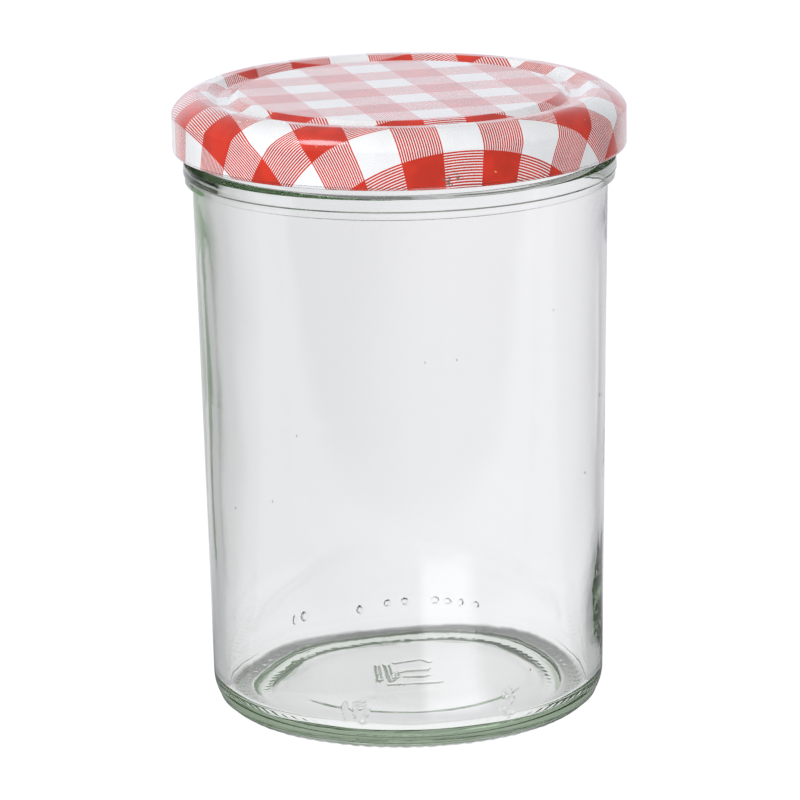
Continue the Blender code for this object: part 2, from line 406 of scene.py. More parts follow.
def makeFloor(settings):
    corners = settings['floorCorners']
    radius = settings['floorRadius'] * mm
    height = -settings['floorDrop'] * mm
    points = [(0.0, 0.0, height)]
    for step in range(corners):
        angle = fullTurn * step / corners
        points.append((math.cos(angle) * radius, math.sin(angle) * radius, height))
    faces = [(0, 1 + step, 1 + (step + 1) % corners) for step in range(corners)]
    mesh = bpy.data.meshes.new('studioFloor')
    mesh.from_pydata(points, [], faces)
    floor = bpy.data.objects.new('studioFloor', mesh)
    bpy.context.scene.collection.objects.link(floor)
    material = bpy.data.materials.new('paleFloor')
    mesh.materials.append(material)
    material.use_nodes = True
    material.cycles.emission_sampling = 'NONE'
    tree = material.node_tree
    tree.nodes.remove(tree.nodes['Principled BSDF'])
    place = addNode(tree, 'ShaderNodeNewGeometry').outputs['Position']
    parts = addNode(tree, 'ShaderNodeSeparateXYZ', place)
    azimuth = calc(tree, 'ARCTAN2', parts.outputs[1], parts.outputs[0])
    length = addNode(tree, 'ShaderNodeVectorMath', place, operation='LENGTH').outputs['Value']
    length = calc(tree, 'DIVIDE', length, mm)
    path = addNode(tree, 'ShaderNodeLightPath').outputs
    # seen through the glass: greyer towards the sides, with the jar's own shadow
    isBehind = calc(tree, 'GREATER_THAN', parts.outputs[1], 0.0)

    def sideShade(*zones):
        shade = 1.0
        for light, dark, depth in zones:
            side = math.copysign(settings['edgeCentre'] * mm, 90.0 - dark)
            across = calc(tree, 'SUBTRACT', parts.outputs[0], side)
            fan = calc(tree, 'ARCTAN2', parts.outputs[1], across)
            kept = remap(tree, fan, math.radians(light), math.radians(dark), 1.0, 1.0 - depth)
            shade = times(tree, shade, kept)
        return mixNumber(tree, isBehind, 1.0, shade)

    isBack = remap(tree, parts.outputs[1], *(edge * mm for edge in settings['shadowTurn']))
    contact = times(tree, smoothBand(tree, length, settings['contactRing']),
                    times(tree, isBack, settings['contactDepth']))
    front = times(tree, smoothBand(tree, length, settings['frontRing']),
                  mixNumber(tree, isBack, settings['frontDepth'], 0.0))
    clear = calc(tree, 'SUBTRACT', 1.0, calc(tree, 'ADD', contact, front))
    light, dark, depth = settings['greyBehind']
    slowly = remap(tree, parts.outputs[0], dark * mm, light * mm, 1.0 - depth, 1.0)
    through = times(tree, clear, settings['floorThrough'],
                    sideShade(settings['greyLeft'], settings['greyRight']),
                    mixNumber(tree, isBehind, 1.0, slowly))
    # light that the glass or the lacquer has turned aside
    stray = remap(tree, path['Glossy Depth'], *settings['strayBounces'], 1.0, settings['strayShare'])
    turned = times(tree, settings['floorThrough'],
                   sideShade(settings['edgeLeft'], settings['edgeRight']), stray)
    outside = calc(tree, 'SUBTRACT', 1.0, path['Is Transmission Ray'])
    spared = times(tree, outside, settings['edgeSpared'])
    mirrored = mixNumber(tree, spared, turned, settings['floorThrough'])
    # the unlit room in front and at the sides
    ahead = calc(tree, 'SUBTRACT', 0.0, parts.outputs[1])
    isFar = remap(tree, calc(tree, 'DIVIDE', ahead, mm), *settings['frontEdge'])
    mirrored = mixNumber(tree, isFar, mirrored, settings['frontDark'])
    sideways = calc(tree, 'DIVIDE', calc(tree, 'ABSOLUTE', parts.outputs[0]), times(tree, length, mm))
    sideways = times(tree, remap(tree, sideways, *settings['sideEdge']), outside)
    mirrored = mixNumber(tree, sideways, mirrored, settings['sideDark'])
    # the bright patch
    first, last = (math.radians(value) for value in settings['windowAzimuths'])
    soft = settings['windowSoft']
    sides = (first + soft[0], first + soft[1], last + soft[2], last + soft[3])
    window = times(tree, smoothBand(tree, azimuth, sides),
                   smoothBand(tree, length, settings['windowReach']),
                   remap(tree, length, *settings['windowNear'], 1.0),
                   times(tree, outside, settings['windowBright']))
    mirrored = calc(tree, 'ADD', mirrored, window)
    isMirrored = calc(tree, 'GREATER_THAN', path['Glossy Depth'], 0.5)
    glow = mixNumber(tree, path['Is Transmission Ray'], settings['floorLight'], through)
    glow = mixNumber(tree, isMirrored, glow, mirrored)
    glow = mixNumber(tree, path['Is Diffuse Ray'], glow, settings['floorLight'])
    glow = mixNumber(tree, path['Is Camera Ray'], glow, settings['seenWhite'])
    emission = addNode(tree, 'ShaderNodeEmission', settings['floorTint'], glow)
    tree.links.new(emission.outputs[0], tree.nodes['Material Output'].inputs['Surface'])


# The glass jar, turned as one closed outline.
jar = {
    'segments': 240,            # three times as many round the base ridges and the heel marks
    'pushUp': 2.2,
    'pushUpPower': 8.0,         # a higher number keeps the push-up flatter in the middle
    'ringInner': 29.8,
    'heelRadius': 37.7,
    'heelHeight': 6.7,
    'heelRound': 6.0,
    'heelSeam': 2.30,           # parting line round the heel
    'heelNotch': ((0.30, 0.10), (0.32, 0.18)),      # its outline, outwards and up from there
    'heelNotchClear': (0.05, 0.4),                  # the curve's points stop this far below and above
    'bodyTop': 103.1,
    'bodyTopRadius': 39.39,
    'bodyRound': 0.2,
    'beadRadius': 41.0,
    'beadTop': 107.5,           # where the bead's flat top meets the finish
    'beadEdge': 107.1,
    'beadEdgeRound': 0.08,
    'beadLow': 103.4,
    'beadRound': 0.14,
    'seam': 104.67,             # parting line between the neck mould and the body mould
    'seamTop': 105.04,
    'seamStep': 0.20,           # the bead is this much smaller below the line
    'seamSwell': 0.09,          # and this much larger just above it
    'seamRound': 0.03,
    'ledgeRun': 0.6,            # the finer rings of the threads start this far out on the bead's top
    'boreBead': 37.65,          # the bore widens a little towards the bead
    'boreFlare': 0.02,
    'boreShelf': 107.15,
    'boreShelfDrop': 0.45,
    'boreFoot': 103.86,
    'boreStart': 62.0,
    'boreEnd': 8.0,
    'boreRounds': (0.34, 0.37, 0.3, 1.0),
    'finishRadius': 38.9,
    'finishRound': 0.1,
    'rimTop': 118.65,
    'rimRound': 0.9,
    'mouthRadius': 36.6,
    'wall': 2.5,
    'floor': 4.6,
    'floorRise': 0.8,
    'floorRound': 2.4,
    'ridges': 87,               # fine radial ridges under the base
    'ridgeDepth': 0.13,
    'ridgeFade': (30.8, 32.0, 33.8, 35.6),          # they come and go between these radii
    'ridgeEnd': 35.7,
    'ridgeSeed': 47,
    'ridgeSizes': (0.45, 1.25),
    'ridgePower': 0.8,
    'marksTop': 12.6,           # the finer rings of the heel marks end here
    'marksTopRadius': 37.807,
    'wallShift': 0.7,           # the inside stands off centre near the neck: a thicker wall on the left
    'wallShiftLow': 0.65,       # the same low down
    'shiftTurn': (30.0, 85.0),
    'shiftFade': (7.0, 36.0, 103.4, 108.0),
}
# how closely the rings of the mesh stand
ringSpacing = {
    'underMiddle': (0.0, 0.6, 1.2),
    # from, to and spacing, finer where the raised bars and the plate's line are
    'under': ((1.6, 11.0, 0.36), (11.6, 21.8, 1.6), (21.8, 24.9, 0.31), (25.4, 28.6, 1.1)),
    'underEdge': (28.9, 29.5),
    'ring': (30.6, 31.2),
    'heel': 0.46,
    'wall': 3.4,
    'finish': 0.38,
    'bore': 2.8,
    'floor': (1.2, 3.0, -1.9),                      # from this far inside the corner, to, spacing
    'floorMiddle': (2.0, 1.0, 0.0),
}
# the unevenness of the glass: seed, waves, most waves around, shortest and longest wave, size
unevenness = {
    'inside': (11, 14, 6, 22.0, 80.0, 0.07),
    'insideLong': (5, 5, 3, 70.0, 180.0, 0.22),
    'insideFade': (8.0, 16.0, 92.0, 99.5),          # heights between which it comes and goes
    'outside': (23, 6, 4, 40.0, 120.0, 0.02),
    'outsideSunk': 0.02,                            # keeps the waves within the true outline
    'outsideFade': (13.0, 22.0, 94.0, 101.0),
    'corner': (31, 10, 14, 5.0, 20.0, 0.07),
    'cornerTop': (8.0, 6.6),
    'floorFade': (0.0, 32.0),                       # from the middle of the floor out
}
thread = {
    'start': -79.2,             # degrees
    'span': 50.0,
    'count': 6,
    'low': 109.15,
    'slope': 6.5,
    'depth': 1.45,
    'half': 1.0,
    'end': 0.12,                # height left at a ridge's ends, as a share
    'runIn': 5.0,
    'width': (0.55, 0.45),      # share of the half width at the ends, and what the middle adds
    'crest': (0.35, 1.05),      # shares of the half width where the flat crest ends and the foot is
}
# a fine line that the base plate of the mould leaves, clearest at the front
plate = {
    'ring': 23.2,
    'width': 0.8,
    'height': 0.22,
    'front': (0.15, 0.85),      # its share all round, and what the front adds
    'frontEdge': (0.25, 0.80),
    'frontTurn': 0.10,          # radians
    'backEdge': (0.0, 0.5),
    'backTurn': -0.35,
}
# plain raised dots and bars round the heel: degrees, height, half length around, half height
heelMarks = (
    (-108.6, 8.5, 0.40, 2.0), (-105.7, 8.8, 0.45, 1.9), (-103.6, 10.3, 0.9, 0.35),
    (-102.4, 8.4, 0.5, 0.6), (-103.4, 6.9, 0.9, 0.35), (-60.6, 10.6, 0.9, 0.9),
    (-59.4, 9.4, 0.35, 1.3), (-61.6, 7.6, 0.8, 0.7), (-60.0, 6.8, 1.3, 0.35),
    (129.6, 7.6, 0.5, 1.3), (125.4, 8.0, 1.0, 1.2), (106.2, 7.6, 0.8, 0.9),
    (97.8, 8.2, 0.8, 0.8), (92.6, 8.2, 0.8, 0.8), (83.0, 8.3, 1.0, 0.9),
    (79.0, 8.1, 1.0, 0.7), (74.6, 7.9, 0.8, 0.9), (69.5, 7.6, 0.9, 0.8),
)
# plain raised bars under the middle: centre x, y, half length, half width, turn in degrees
baseBars = (
    (-6.0, 1.5, 4.6, 0.35, 94.0), (-3.9, 1.6, 5.1, 0.45, 97.0), (-0.7, 8.0, 2.7, 0.42, 20.0),
    (3.2, 8.0, 1.4, 0.40, -52.0), (0.8, 2.6, 3.1, 0.42, 6.0), (1.4, -0.4, 2.3, 0.40, 4.0),
    (-2.4, 0.4, 1.8, 0.32, 92.0), (1.0, -4.4, 5.2, 0.30, 5.0),
)
# how high the marks and bars stand, and the shares of their half width where they start to fall
# and are level with the glass
relief = {
    'markHeight': 0.65,
    'markEdge': (0.55, 1.0),
    'barHeight': 0.34,
    'barEdge': (0.5, 1.4),
}
# long cords that stand up and down the wall: degrees, height, half width in degrees, from, to
cords = (
    (-18.5, -0.085, 1.5, 48.0, 92.0), (-163.5, 0.06, 1.4, 20.0, 98.0), (-171.5, 0.05, 1.6, 8.0, 60.0),
    (-10.0, 0.05, 1.8, 14.0, 44.0),
)
cordSway = (1.2, 9.0)           # degrees to each side, and the height that one radian of it takes
cordFade = 14.0                 # length of their fading ends
# seed bubbles in the wall: degrees, height, radius, share of the way in
bubbles = (
    (-16.0, 27.5, 0.40, 0.5), (-148.0, 44.0, 0.20, 0.4), (-27.0, 49.0, 0.20, 0.6),
    (-13.0, 62.0, 0.26, 0.5), (-84.0, 76.0, 0.13, 0.5), (-52.0, 14.0, 0.20, 0.5),
    (-122.0, 61.0, 0.14, 0.6), (38.0, 71.0, 0.18, 0.4), (141.0, 33.0, 0.22, 0.5),
    (74.0, 58.0, 0.15, 0.5), (-170.0, 88.0, 0.20, 0.5), (12.0, 92.0, 0.16, 0.6),
)
bubbleShape = {
    'rows': 6,
    'sides': 10,
    'stretch': 1.3,
    'depth': (0.3, 0.4),        # least share of the wall outside a bubble's middle, and its range
}
glass = {
    'tint': (1.0, 1.0, 1.0, 1.0),
    'ior': 1.52,
    'absorb': (0.50, 0.69, 0.44, 1.0),
    'density': 20.0,
    'rippleScale': 260.0,
    'rippleDetail': 1.5,
    'rippleStrength': 0.12,
    'rippleDepth': 0.12,
}


def innerRadius(z):
    share = (z - jar['heelHeight']) / (jar['bodyTop'] - jar['heelHeight'])
    return jar['heelRadius'] + (jar['bodyTopRadius'] - jar['heelRadius']) * share - jar['wall']


def wallShiftAt(z):
    more = (jar['wallShift'] - jar['wallShiftLow']) * float(smoothStep(*jar['shiftTurn'], z))
    return (jar['wallShiftLow'] + more) * float(comeAndGo(jar['shiftFade'], z))


def jarPath():
    # (r, z, ring count, zone), from the middle of the underside out, up, over the rim and down inside
    coarse = jar['segments']
    fine = 3 * coarse
    spacing = ringSpacing
    path = []

    def add(points, count, zone):
        for r, z in points:
            if not path or math.hypot(path[-1][0] - r, path[-1][1] - z) > 1e-4:
                path.append((r, z, count if r > 1e-6 else 1, zone))

    def underside(r):
        return jar['pushUp'] * (1.0 - (r / jar['ringInner']) ** jar['pushUpPower'])

    radii = list(spacing['underMiddle']) + [r for run in spacing['under'] for r in np.arange(*run)]
    add([(r, underside(r)) for r in radii], coarse, 'under')
    add([(r, underside(r)) for r in spacing['underEdge']], fine, 'ridge')
    ringOuter = jar['heelRadius'] - jar['heelRound']
    add([(r, 0.0) for r in (jar['ringInner'], *spacing['ring'], ringOuter)], fine, 'ridge')
    # the rounded heel with its parting line
    seam = jar['heelSeam']
    below, above = jar['heelNotchClear']
    heel = arcPoints(ringOuter, jar['heelHeight'], jar['heelRound'], jar['heelHeight'], -90, 0, 23)
    add([point for point in heel if point[0] < jar['ridgeEnd']], fine, 'ridge')
    lower = [point for point in heel if point[0] >= jar['ridgeEnd'] and point[1] < seam - below]
    upper = [point for point in heel if point[1] > seam + above]
    add(lower, fine, 'heel')
    share = (seam - lower[-1][1]) / (upper[0][1] - lower[-1][1])
    footR = lower[-1][0] + share * (upper[0][0] - lower[-1][0])
    add([(footR, seam)], fine, 'heel')
    add([(footR + across, seam + rise) for across, rise in jar['heelNotch']], fine, 'heel')
    add(upper, fine, 'heel')
    marksTop = (jar['marksTopRadius'], jar['marksTop'], 0)
    add(roundedLine([(jar['heelRadius'], jar['heelHeight'], 0), marksTop], spacing['heel']), fine, 'heel')
    # the wall and the bead
    belowSeam = jar['beadRadius'] - jar['seamStep']
    outside = [marksTop, (jar['bodyTopRadius'], jar['bodyTop'], jar['bodyRound'])]
    outside += [(belowSeam, jar['beadLow'], jar['beadRound']), (belowSeam, jar['seam'], 0)]
    outside += [(jar['beadRadius'] + jar['seamSwell'], jar['seamTop'], jar['seamRound'])]
    outside += [(jar['beadRadius'], jar['beadEdge'], jar['beadEdgeRound'])]
    ledgeFall = (jar['beadTop'] - jar['beadEdge']) / (jar['beadRadius'] - jar['finishRadius'])
    ledge = jar['ledgeRun']
    outside += [(jar['finishRadius'] + ledge, jar['beadTop'] - ledge * ledgeFall, 0)]
    add(roundedLine(outside, spacing['wall'])[1:], coarse, 'wall')
    # the finish and the rim
    rimStart = jar['rimTop'] - jar['rimRound']
    finish = [outside[-1], (jar['finishRadius'], jar['beadTop'], jar['finishRound'])]
    finish += [(jar['finishRadius'], rimStart, 0)]
    add(roundedLine(finish, spacing['finish'], 15.0)[1:], coarse, 'finish')
    half = (jar['finishRadius'] - jar['mouthRadius']) / 2
    add(arcPoints(jar['finishRadius'] - half, rimStart, half, jar['rimRound'], 0, 180, 9), coarse, 'rim')
    # the inside
    rounds = jar['boreRounds']
    bore = [(jar['mouthRadius'], rimStart, 0), (jar['mouthRadius'], jar['boreShelf'], rounds[0])]
    bore += [(jar['boreBead'], jar['boreShelf'] - jar['boreShelfDrop'], rounds[1])]
    bore += [(jar['boreBead'] + jar['boreFlare'], jar['boreFoot'], rounds[2])]
    bore += [(innerRadius(jar['boreStart']), jar['boreStart'], rounds[3])]
    bore += [(innerRadius(jar['boreEnd']), jar['boreEnd'], 0)]
    add(roundedLine(bore, spacing['bore'])[1:], coarse, 'bore')
    cornerZ = jar['floor'] + jar['floorRound']
    cornerR = innerRadius(cornerZ) - jar['floorRound']
    add(arcPoints(cornerR, cornerZ, jar['floorRound'], jar['floorRound'], 0, -90, 10), coarse, 'corner')
    inset, last, step = spacing['floor']
    for r in list(np.arange(cornerR - inset, last, step)) + list(spacing['floorMiddle']):
        rise = jar['floorRise'] * (1.0 - (r / cornerR) ** 2)
        add([(r, jar['floor'] + rise)], coarse, 'floor')
    return path


def cordHeight(angles, z):
    out = np.zeros_like(angles)
    for degrees, height, halfWide, low, high in cords:
        centre = math.radians(degrees + cordSway[0] * math.sin(z / cordSway[1]))
        away = fromAngle(angles, centre) / math.radians(halfWide)
        fade = float(comeAndGo((low, low + cordFade, high - cordFade, high), z))
        out = out + height * fade * np.exp(-away ** 2)
    return out


def threadHeight(angles, z):
    # how far the screw ridges stand out at each angle of one ring
    out = np.zeros_like(angles)
    ends, middle = thread['width']
    for index in range(thread['count']):
        start = math.radians(thread['start'] + index * 360.0 / thread['count'])
        share = ((angles - start) % fullTurn) / math.radians(thread['span'])
        run = share * math.radians(thread['span']) * jar['finishRadius']
        centre = thread['low'] + run * math.tan(math.radians(thread['slope']))
        swell = np.clip(thread['end'] + thread['runIn'] * np.minimum(share, 1.0 - share), 0.0, 1.0)
        half = thread['half'] * (ends + middle * swell)
        foot = 1.0 - smoothStep(*thread['crest'], np.abs(z - centre) / half)
        height = thread['depth'] * swell * foot
        out = np.maximum(out, np.where(share <= 1.0, height, 0.0))
    return out


def plateLine(angles, r):
    least, more = plate['front']
    front = least + more * smoothStep(*plate['frontEdge'], -np.sin(angles - plate['frontTurn']))
    back = 1.0 - smoothStep(*plate['backEdge'], np.sin(angles - plate['backTurn']))
    line = np.exp(-((r - plate['ring']) / plate['width']) ** 2)
    return -plate['height'] * line * front * back


def heelHeightMap(angles, r, z):
    out = np.zeros_like(angles)
    for degrees, height, halfLong, halfHigh in heelMarks:
        along = fromAngle(angles, math.radians(degrees)) * r
        away = np.hypot(along / halfLong, (z - height) / halfHigh)
        out = np.maximum(out, relief['markHeight'] * (1.0 - smoothStep(*relief['markEdge'], away)))
    return out


def baseHeightMap(x, y):
    out = np.zeros_like(x)
    inner, outer = relief['barEdge']
    for centreX, centreY, halfLong, halfWide, turn in baseBars:
        cosine = math.cos(math.radians(turn))
        sine = math.sin(math.radians(turn))
        along = (x - centreX) * cosine + (y - centreY) * sine
        across = (y - centreY) * cosine - (x - centreX) * sine
        away = np.hypot(np.maximum(np.abs(along) - (halfLong - halfWide), 0.0), across)
        fall = smoothStep(inner * halfWide, outer * halfWide, away)
        out = np.maximum(out, relief['barHeight'] * (1.0 - fall))
    return out


def jarRings():
    path = jarPath()
    insideWaves = waveSet(*unevenness['inside'])
    longWaves = waveSet(*unevenness['insideLong'])
    outsideWaves = waveSet(*unevenness['outside'])
    cornerWaves = waveSet(*unevenness['corner'])
    cornerHigh, cornerLow = unevenness['cornerTop']
    rng = random.Random(jar['ridgeSeed'])
    ridgeSizes = np.array([rng.uniform(*jar['ridgeSizes']) for _ in range(jar['ridges'])])
    rings = []
    for index, (r, z, count, zone) in enumerate(path):
        before = path[max(index - 1, 0)]
        after = path[min(index + 1, len(path) - 1)]
        slope = Vector((after[0] - before[0], after[1] - before[1])).normalized()
        outR, outZ = slope.y, -slope.x          # the outward side of the outline
        angles = np.arange(count) * (fullTurn / count)
        push = np.zeros(count)
        shift = 0.0
        if zone == 'under' and count > 1:
            push = baseHeightMap(r * np.cos(angles), r * np.sin(angles)) + plateLine(angles, r)
        elif zone == 'ridge':
            wave = 0.5 + 0.5 * np.cos(jar['ridges'] * angles)
            nearest = np.round(angles / fullTurn * jar['ridges']).astype(int) % jar['ridges']
            height = np.minimum(ridgeSizes[nearest] * wave ** jar['ridgePower'], 1.0)
            push = -jar['ridgeDepth'] * comeAndGo(jar['ridgeFade'], r) * (1.0 - height)
        elif zone == 'heel':
            push = heelHeightMap(angles, r, z)
        elif zone == 'wall':
            fade = comeAndGo(unevenness['outsideFade'], z)
            waves = waveSum(outsideWaves, angles, z) - unevenness['outsideSunk']
            push = waves * fade + cordHeight(angles, z)
        elif zone == 'finish':
            push = threadHeight(angles, z)
        elif zone == 'bore':
            fade = comeAndGo(unevenness['insideFade'], z)
            push = (waveSum(insideWaves, angles, z) + waveSum(longWaves, angles, z)) * fade
            shift = wallShiftAt(z)
        elif zone == 'corner':
            fade = smoothStep(cornerHigh, cornerLow, z) if z > cornerLow else 1.0
            push = waveSum(cornerWaves, angles, r + z) * fade
        elif zone == 'floor' and count > 1:
            push = waveSum(cornerWaves, angles, r + z) * smoothStep(*unevenness['floorFade'], r)
        ringR = r + outR * push
        ringZ = z + outZ * push
        ring = (ringR * np.cos(angles) + shift, ringR * np.sin(angles), ringZ * np.ones(count))
        rings.append(np.stack(ring, -1))
    return rings


def bubbleMesh(degrees, height, radius, share, start):
    # a small closed hollow inside the wall, so its faces look inwards
    rows = bubbleShape['rows']
    sides = bubbleShape['sides']
    stretch = bubbleShape['stretch']
    least, more = bubbleShape['depth']
    angle = math.radians(degrees)
    shift = wallShiftAt(height) * math.cos(angle)
    outerR = jar['heelRadius'] + (jar['bodyTopRadius'] - jar['heelRadius']) * height / jar['bodyTop']
    middleR = outerR - (jar['wall'] - shift) * (least + more * share)
    centre = np.array((middleR * math.cos(angle), middleR * math.sin(angle), height))
    points = [centre + (0.0, 0.0, -radius * stretch)]
    for row in range(1, rows):
        lift = -math.cos(math.pi * row / rows)
        wide = math.sin(math.pi * row / rows) * radius
        for step in range(sides):
            turn = fullTurn * step / sides
            points.append(centre + (wide * math.cos(turn), wide * math.sin(turn), lift * radius * stretch))
    points.append(centre + (0.0, 0.0, radius * stretch))
    faces = []
    counts = [1] + [sides] * (rows - 1) + [1]
    at = start
    for near, far in zip(counts, counts[1:]):
        faces += [tuple(reversed(face)) for face in ringFaces(at, near, at + near, far)]
        at += near
    return points, faces


def glassMaterial():
    material, tree, shader = newMaterial(
        'clearGlass', **{'Base Color': glass['tint'], 'Roughness': 0.0, 'IOR': glass['ior'],
                         'Transmission Weight': 1.0})
    output = tree.nodes['Material Output']
    volume = addNode(tree, 'ShaderNodeVolumeAbsorption', glass['absorb'], glass['density'])
    tree.links.new(volume.outputs[0], output.inputs['Volume'])
    place = addNode(tree, 'ShaderNodeTexCoord').outputs['Object']
    ripple = noise(tree, place, glass['rippleScale'], glass['rippleDetail'])
    bump = addBump(tree, ripple, glass['rippleStrength'], glass['rippleDepth'])
    tree.links.new(bump, shader.inputs['Normal'])
    return material


def makeJar():
    points, faces, _ = meshFromRings(jarRings())
    for bubble in bubbles:
        morePoints, moreFaces = bubbleMesh(*bubble, start=len(points))
        points = np.concatenate([points, np.array(morePoints) * mm])
        faces = faces + moreFaces
    finishPiece('clearJar', points, faces, [glassMaterial()], 'glass_jar')
    print('glass jar made:', countTriangles(faces), 'triangles')


# The twist-off lid, drawn from one printed sheet.
lid = {
    'segments': 360,
    'top': 120.0,
    'height': 10.8,
    'radius': 43.0,
    'sheet': 0.25,
    'shoulderWidth': 4.8,
    'shoulderDrop': 3.65,
    'shoulderPower': 1.41,
    'panelDrop': 0.15,
    'grooveDepth': 1.4,
    # radius and rounding of the panel's edge, the groove's two corners and the crest's inner edge
    'grooveCorners': ((30.55, 0.9), (32.5, 0.8), (34.4, 0.9), (36.3, 0.9)),
    'underCorners': (34.1, 32.2, 30.3),         # the same from below, from the seal inwards
    'underRound': 0.6,
    'underSpan': 65,            # degrees of the shoulder's underside that stay clear of the seal
    'curl': 0.65,
    'curlTurn': (-90, -290),    # the part of the curl that isn't printed, in degrees
    'hemTop': 1.45,             # where the curl meets the inside of the skirt
    'sealInner': 35.5,
    'sealOuter': 39.5,
    'sealFace': 118.95,
    'sealStep': (0.3, 0.1),     # its broken outer edge, inwards and up
    'sealRounds': (0.1, 0.2, 0.3),
    'lugOffset': 38.0,
    'lugSpan': 13.0,
    'lugTip': 39.9,
    'lugTop': 1.4,
    'lugEdge': (0.55, 1.0),
    # the printed sheet is as it was on the panel, gives a little more to the groove up to the crest,
    # and keeps its area from there on
    'flatPanel': 30.8,
    'flatPanelDepth': 0.5,
    'flatCrest': 38.3,
    'flatCrestEnd': 38.4,
    'flatCrestSpread': 38.9,
    'flatCrestDepth': 2.0,
    'flatCrestExtra': 0.47,
}
# the gingham: bands of thin parallel lines on white, solid where two bands cross
gingham = {
    'bands': ((15.60, 16.30, 0.498), (105.97, 15.95, 0.070)),   # direction, pitch, phase
    'bandShare': 0.491,         # of a pitch, from the first line's middle to the last one's
    'bandSoft': 0.0012,
    'lines': 18,
    'lineShare': 0.62,
    'lineSoft': 0.05,
    'lineBlur': 0.06,           # how much a line's width varies
    'blurScale': 1600.0,
    'sheetScale': 100.0,        # millimetres of flat sheet to one unit of the map
    'red': (0.66, 0.036, 0.014, 1.0),
    'redDeep': 0.80,            # the darker red of the uneven ink, as a share
    'redEdge': (0.35, 0.65),
    'white': (0.86, 0.87, 0.87, 1.0),
    'whiteDull': (0.82, 0.83, 0.84, 1.0),
    'whiteEdge': (0.3, 0.7),
    'cloudScale': 220.0,
}
lacquer = {
    'shader': {'Roughness': 0.3, 'IOR': 1.5, 'Specular IOR Level': 0.2, 'Coat Weight': 1.0,
               'Coat Roughness': 0.06, 'Coat IOR': 1.5},
    'roughness': (0.20, 0.06),  # least, and how much it varies
    'speckScale': 900.0,
    'speckEdge': (0.83, 0.86),
    'speck': (0.80, 0.42, 0.12, 1.0),
    'chipScale': 700.0,
    'chipRough': 0.7,
    'chipTop': (109.4, 112.2),  # chips of lost lacquer come up to here from the lower edge
    'chipEdge': (0.66, 0.70),
    'patchAt': -75.5,           # a scratched patch, in degrees
    'patchHalf': (0.03, 0.12),  # radians
    'patchTop': (111.0, 112.8),
    'patchEdge': (0.60, 0.64),
    'bare': (0.16, 0.13, 0.11, 1.0),
    'chipDepth': 1.5,
    'peelScale': 420.0,
    'peelStrength': 0.10,
    'peelDepth': 0.10,
}
# finishes inside the lid: roughness, refraction, scale of the clouding and its two colours; the inner
# lacquer's two colours are partly a guess at its own colour and partly painted shade, set dark for the
# shadowed gap under the lid that shows through the glass
insideFinishesWithShade = {
    # painted shade: these dark colours stand in for the shade inside the lid
    'innerLacquerAndShade': (0.28, 1.5, 160.0, (0.40, 0.39, 0.34, 1.0), (0.34, 0.33, 0.29, 1.0)),
    'sealCompound': (0.5, 1.48, 300.0, (0.42, 0.41, 0.38, 1.0), (0.36, 0.35, 0.33, 1.0)),
}


def lidPath():
    # (r, z, material index) from the middle of the panel out, down, round the curl and back under
    sheet = lid['sheet']
    panel = lid['top'] - lid['panelDrop']
    groove = lid['top'] - lid['grooveDepth']
    bottom = lid['top'] - lid['height']
    shoulderR = lid['radius'] - lid['shoulderWidth']
    shoulderZ = lid['top'] - lid['shoulderDrop']
    path = []

    def add(points, index):
        for r, z in points:
            if not path or math.hypot(path[-1][0] - r, path[-1][1] - z) > 1e-4:
                path.append((r, z, index))

    heights = (panel, groove, groove, lid['top'])
    top = [(0.0, panel, 0)]
    top += [(r, z, fillet) for (r, fillet), z in zip(lid['grooveCorners'], heights)]
    top += [(shoulderR, lid['top'], 0)]
    add(roundedLine(top, 0.9, 10.0), 0)
    add(arcPoints(shoulderR, shoulderZ, lid['shoulderWidth'], lid['shoulderDrop'], 90, 0, 22,
                  lid['shoulderPower']), 0)
    curlR = lid['radius'] - lid['curl']
    curlZ = bottom + lid['curl']
    add(roundedLine([(lid['radius'], shoulderZ, 0), (lid['radius'], curlZ, 0)], 0.5), 0)
    turned, end = lid['curlTurn']
    add(arcPoints(curlR, curlZ, lid['curl'], lid['curl'], 0, turned, 6), 0)
    add(arcPoints(curlR, curlZ, lid['curl'], lid['curl'], turned, end, 12), 1)
    inside = lid['radius'] - sheet
    hemZ = bottom + lid['hemTop']
    add([(inside, hemZ)], 1)
    add(roundedLine([(inside, hemZ, 0), (inside, shoulderZ, 0)], 0.9), 1)
    under = arcPoints(shoulderR, shoulderZ, lid['shoulderWidth'] - sheet, lid['shoulderDrop'] - sheet,
                      0, lid['underSpan'], 9, lid['shoulderPower'])
    add(under, 1)
    sealEnd, grooveUnder, panelUnder = lid['underCorners']
    inwards, upwards = lid['sealStep']
    rounds = lid['sealRounds']
    seal = [(under[-1][0], under[-1][1], 0), (lid['sealOuter'], lid['sealFace'] + upwards, rounds[0])]
    seal += [(lid['sealOuter'] - inwards, lid['sealFace'], rounds[1])]
    seal += [(lid['sealInner'], lid['sealFace'], rounds[2]), (sealEnd, groove - sheet, 0)]
    add(roundedLine(seal, 0.5, 15.0), 2)
    back = [(sealEnd, groove - sheet, 0), (grooveUnder, groove - sheet, lid['underRound'])]
    back += [(panelUnder, panel - sheet, lid['underRound']), (0.0, panel - sheet, 0)]
    add(roundedLine(back, 1.2, 12.0), 1)
    return path


def flatRadii(path):
    # how far from the middle each ring lay on the flat printed sheet before it was drawn into a cap
    flat = []
    for index, (r, z, _) in enumerate(path):
        depth = lid['top'] - z
        onCrest = index and r < lid['flatCrestEnd'] and depth < lid['flatCrestDepth']
        if r <= lid['flatPanel'] and depth < lid['flatPanelDepth']:
            flat.append(r)
        elif onCrest and flat[-1] < lid['flatCrestSpread']:
            share = float(smoothStep(lid['flatPanel'], lid['flatCrest'], r))
            flat.append(r + lid['flatCrestExtra'] * share)
        else:
            last = path[index - 1]
            run = math.hypot(r - last[0], z - last[1])
            flat.append(math.sqrt(flat[-1] ** 2 + (r + last[0]) * run))
    return flat


